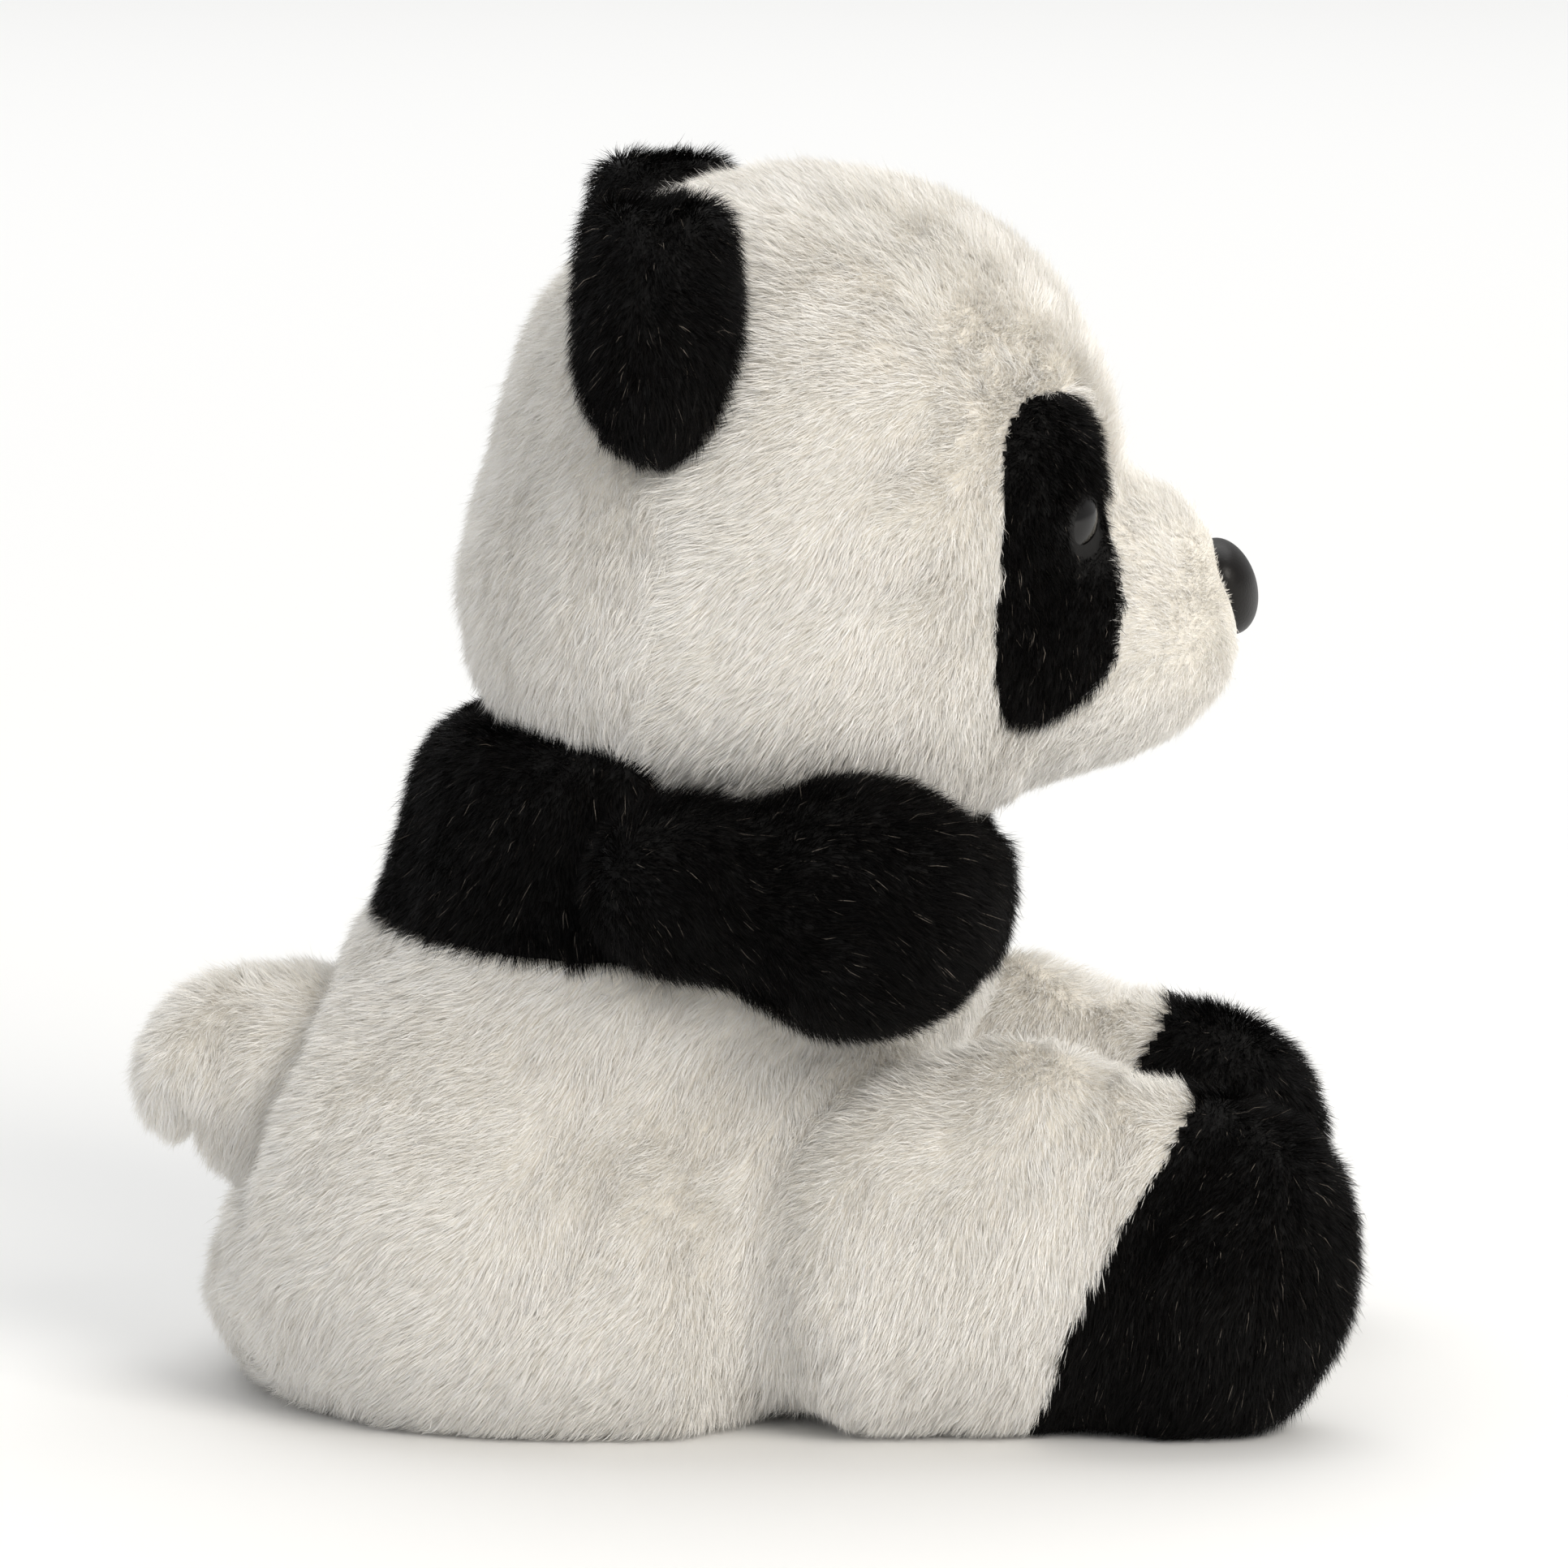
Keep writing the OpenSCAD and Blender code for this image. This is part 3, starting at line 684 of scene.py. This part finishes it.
def growPile(panel, skin, faces, seed, part=""):
    kind = kindOf(panel)
    cut = pile[kind]
    rng = np.random.default_rng(seed)
    mesh = skin.data
    points = getPoints(mesh)
    normals = normalsOf(mesh)
    corners = np.array([f[[0, 1, 2]] for f in faces] + [f[[0, 2, 3]] for f in faces if len(f) == 4])
    a, b, c = (points[corners[:, i]] for i in range(3))
    area = np.linalg.norm(np.cross(b - a, c - a), axis=1) / 2
    count = int(area.sum() / mm ** 2 * cut["density"] * (1))
    pick = rng.choice(len(corners), count, p=area / area.sum())
    u, v = rng.random((2, count))
    fold = u + v > 1
    u[fold], v[fold] = 1 - u[fold], 1 - v[fold]
    shares = np.stack([1 - u - v, u, v], axis=1)[:, :, None]
    root = (points[corners[pick]] * shares).sum(axis=1)
    normal = unit((normals[corners[pick]] * shares).sum(axis=1))

    # the brushed way lies in the cloth, and wanders
    way = np.array(cut["brush"], float) + np.stack([f(root) for f in brushing], axis=1) * 0.2
    way[:, 2] -= cut.get("fall", 0) * np.clip(np.abs(root[:, 0]) / (25 * mm), 0, 1)
    way = unit(way - normal * (way * normal).sum(axis=1, keepdims=True))
    tuft = np.stack([f(root) for f in tufting], axis=1) * 0.055
    lean = np.radians(cut["lean"] + rng.normal(0, 7, count) + 4 * brushing[1](root[:, [1, 2, 0]]))
    wild = rng.normal(0, 0.11, (count, 3)) + tuft
    first = unit(normal * np.cos(lean * 0.75)[:, None] + way * np.sin(lean * 0.75)[:, None] + wild)
    second = unit(normal * np.cos(lean * 1.25)[:, None] + way * np.sin(lean * 1.25)[:, None] + wild)
    length = cut["length"] * mm * (0.86 + 0.07 * lotting(root) + rng.normal(0, 0.1, count))
    stray = rng.random(count) < fibre["stray"]
    length[stray] *= rng.uniform(1.15, 1.5, stray.sum())
    first[stray] = unit(first[stray] + rng.normal(0, 0.5, (stray.sum(), 3)))
    inCup = np.linalg.norm(root - neckAt, axis=1) < 31.5 * mm
    if kind == "shoulder_band":
        length[inCup] *= 0.7
    # no pile grows under an eye or the nose, and it is trimmed short round them
    keep = np.ones(count, bool)
    for apex, axis, radius in trims.values():
        off = root - apex
        aside = np.linalg.norm(off - (off @ axis)[:, None] * axis, axis=1)
        beside = np.abs(off @ axis) < 9 * mm
        keep &= ~(beside & (aside < radius * 0.92))
        length = np.where(beside & (aside < radius + 1.6 * mm), length * 0.62, length)
    root, normal, way, first, second, length = (x[keep] for x in (root, normal, way, first, second, length))
    count = len(root)
    length = np.clip(length, 0.4 * mm, None)[:, None]

    sideways = np.cross(first, normal)
    sideways = unit(sideways + np.cross(first, rng.normal(0, 0.35, (count, 3))))
    half = fibre["width"] / 2 * rng.uniform(0.75, 1.2, count)[:, None]
    sunk = root - normal * 0.1 * mm
    middle = sunk + first * length * 0.5
    tip = middle + second * length * 0.5
    middle[:, 2] = np.maximum(middle[:, 2], fibre["floor"])
    tip[:, 2] = np.maximum(tip[:, 2], fibre["floor"] * rng.uniform(0.7, 2, count))
    # a bent fibre is three triangles, and a straight one is a single triangle
    bent = rng.random(count) < fibre["bent"]
    feet = np.stack([sunk - sideways * half, sunk + sideways * half], axis=1)
    belt = sideways * half * fibre["taper"]
    whole = np.concatenate([feet, (middle - belt)[:, None], (middle + belt)[:, None], tip[:, None]], axis=1)
    straight = np.concatenate([feet, tip[:, None]], axis=1)
    strands = np.concatenate([whole[bent].reshape(-1, 3), straight[~bent].reshape(-1, 3)])
    bends = int(bent.sum())
    first5 = np.arange(bends)[:, None, None] * 5
    first3 = bends * 5 + np.arange(count - bends)[:, None] * 3
    triangles = np.concatenate([
        (first5 + np.array([[0, 1, 3], [0, 3, 2], [2, 3, 4]])[None]).reshape(-1, 3),
        first3 + np.array([[0, 1, 2]])])
    # each fibre draws a tint by its share, so a few fibres get the painted glint tints
    shareOf = np.cumsum([share for tint, roughness, share in fibres[cut["yarn"]]])
    tint = np.searchsorted(shareOf / shareOf[-1], rng.random(count) * 0.999)
    tints = np.concatenate([np.repeat(tint[bent], 3), tint[~bent]])
    obj = meshFrom(f"{panel}{part}_pile", strands, triangles, fibreSets[cut["yarn"]], tints)
    return obj, count


# the filling that is hidden with a panel, because the drawn cloth goes down into its room
fillings = {"body_left": ["torso_stuffing"], "head_back_left": ["head_stuffing"],
            "tail_left": ["tail_stuffing"]}
for side in sides:
    fillings[f"leg_{side}_thigh"] = [f"leg_{side}_stuffing"]
    fillings[f"arm_{side}_outer"] = [f"arm_{side}_stuffing"]
    fillings[f"ear_{side}_front"] = [f"ear_{side}_stuffing"]

maxFibres = 120000    # a piece with more is split, so that its file keeps every fibre
total = 0
seed = 100
for form, skin in skins.items():
    names = forms[form] + (forms["leg_left"] + forms["leg_right"] if form == "torso" else [])
    faces = faceCorners(skin.data)
    points = getPoints(skin.data)
    centres = np.array([points[f].mean(axis=0) for f in faces])
    nearest = distancesTo(centres, names).argmin(axis=0)
    for index, panel in enumerate(names):
        seed += 1
        mine = np.nonzero(nearest == index)[0]
        # the seat is one panel, cut here into two halves, one on the side of each leg
        halves = [("", mine)]
        if panel == "seat_panel":
            halves = [(f"_{side}", mine[centres[mine, 0] * sides[side] >= 0]) for side in sides]
        for part, chosen in halves:
            if len(chosen) == 0:
                print("  nothing of", panel)
                continue
            own = [faces[i] for i in chosen]
            label = panel + part
            cloth = cutPanel(panel, skin, own, part)
            attach(cloth, label)
            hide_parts(panel, *fillings.get(panel, []))
            area = sum(skin.data.polygons[int(i)].area for i in chosen) / mm ** 2
            pieces = max(1, math.ceil(area * pile[kindOf(panel)]["density"] / maxFibres))
            order = np.argsort(centres[chosen, 2], kind="stable")
            for number, slab in enumerate(np.array_split(chosen[order], pieces)):
                name = part + (f"_{number + 1}" if pieces > 1 else "")
                coat, fibresMade = growPile(panel, skin, [faces[i] for i in slab], seed * 10 + number, name)
                attach(coat, label)
                total += fibresMade
for skin in skins.values():
    bpy.data.objects.remove(skin)
print("pile grown:", total, "fibres")


# a moulded dome on a polar grid: outline gives its half sizes at an angle, crown its height,
# and set is how far it is pressed into the pile
def dome(name, outline, shape, rings=22, spokes=64):
    apex, axis, radius = trims[name]
    apex = apex - axis * shape["set"]
    crown, rim = shape["crown"], shape["rim"]
    sideways = np.array((1.0, 0, 0))
    sideways = sideways - axis * (sideways @ axis)
    sideways /= np.linalg.norm(sideways)
    upwards = np.cross(sideways, axis)
    upwards *= 1 if upwards[2] > 0 else -1
    points = [apex]
    for ring in range(1, rings + 1):
        share = ring / rings
        for spoke in range(spokes):
            angle = 2 * math.pi * spoke / spokes
            across, up = outline(angle)
            slope = share * math.pi / 2
            points.append(apex - axis * crown * (1 - math.cos(slope))
                          + (sideways * across + upwards * up) * math.sin(slope))
    last = 1 + (rings - 1) * spokes
    for spoke in range(spokes):
        points.append(points[last + spoke] - axis * rim)
    points.append(apex - axis * (crown + rim))
    faces = [[0, 1 + s, 1 + (s + 1) % spokes] for s in range(spokes)]
    for ring in range(rings):
        a = 1 + ring * spokes
        faces += [[a + s, a + spokes + s, a + spokes + (s + 1) % spokes, a + (s + 1) % spokes]
                  for s in range(spokes)]
    base = 1 + rings * spokes
    faces += [[base + s, len(points) - 1, base + (s + 1) % spokes] for s in range(spokes)]
    return np.array(points), [np.array(f) for f in faces]


noseShape = {"across": 6.4 * mm, "up": 5.1 * mm, "widerAbove": 0.26, "crown": 3.4 * mm,
             "rim": 1.2 * mm, "set": 0.7 * mm}
eyeShape = {"crown": 2.0 * mm, "rim": 0.9 * mm, "set": 1.1 * mm}


def noseOutline(angle):
    wide = 1 + noseShape["widerAbove"] * math.sin(angle)
    return noseShape["across"] * math.cos(angle) * wide / 1.1, noseShape["up"] * math.sin(angle)


washerPlastic = moulded("washer")
pouchCloth = clothMaterial("pouch")
filling = clothMaterial("filling")
for name, node in frame["nodes"].items():
    if node.hide_render:
        continue
    node.data.materials.clear()
    chosen = filling
    if "washer" in name or name == "pellets":
        chosen = washerPlastic
    elif name == "pellet_pouch":
        chosen = pouchCloth
    node.data.materials.append(chosen)


def setTrim(name, outline, shape, material):
    points, faces = dome(name, outline, shape)
    obj = meshFrom(f"{name}_moulding", points, faces, [material])
    for face in obj.data.polygons:
        face.use_smooth = True
    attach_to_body(obj, "head")
    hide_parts(name)


eyePlastic = moulded("eye")
for name in ("eye_left", "eye_right"):
    radius = trims[name][2]
    setTrim(name, lambda angle: (radius * math.cos(angle), radius * math.sin(angle)), eyeShape,
            eyePlastic)
setTrim("nose", noseOutline, noseShape, moulded("nose"))
print("eyes and nose set")


camera = {"lens": 200.1, "distance": 0.9, "elevation": 8.7, "target": (0, -4.7 * mm, 62 * mm)}
light = {"key": 8.5, "fill": 0.5, "overhead": 42, "sky": 0.46}


def placeCamera():
    data = bpy.data.cameras.new("camera")
    data.lens = camera["lens"]
    data.sensor_width = 36
    obj = newObject("camera", data)
    tilt = math.radians(camera["elevation"])
    back = Vector((-math.cos(tilt), 0, math.sin(tilt)))
    obj.location = Vector(camera["target"]) + back * camera["distance"]
    obj.rotation_euler = (-back).to_track_quat("-Z", "Y").to_euler()
    data.clip_start = 0.01
    data.clip_end = 50
    bpy.context.scene.camera = obj


def softbox(name, place, aim, size, power, tint):
    data = bpy.data.lights.new(name, "AREA")
    data.size = size
    data.energy = power
    data.color = linear(tint)[:3]
    obj = newObject(name, data)
    obj.location = place
    obj.rotation_euler = (Vector(aim) - Vector(place)).to_track_quat("-Z", "Y").to_euler()


placeCamera()
softbox("key", (-0.8, -0.6, 0.65), (0, 0, 0.06), 0.6, light["key"], "#fffaf2")
softbox("fill", (-0.7, 0.6, 0.35), (0, 0, 0.05), 0.8, light["fill"], "#f4f7ff")
softbox("overhead", (1.5, 0, 2.2), (1.5, 0, 0), 3.0, light["overhead"], "#ffffff")

world = bpy.data.worlds.new("studio")
world.use_nodes = True
world.node_tree.nodes["Background"].inputs["Color"].default_value = linear("#ffffff")
world.node_tree.nodes["Background"].inputs["Strength"].default_value = light["sky"]
bpy.context.scene.world = world
bpy.context.scene.view_settings.view_transform = "Standard"
bpy.context.scene.view_settings.look = "None"

floorMesh = bpy.data.meshes.new("floor")
half = 6
floorMesh.from_pydata([(-half, -half, 0), (half, -half, 0), (half, half, 0), (-half, half, 0)], [],
                      [(0, 1, 2, 3)])
floor = newObject("floor", floorMesh)
floorMaterial = startMaterial("matt_white_floor", {
    "Base Color": linear("#fbfbfa"), "Roughness": 0.9, "Specular IOR Level": 0.1})[0]
floorMesh.materials.append(floorMaterial)
print("camera and light set")
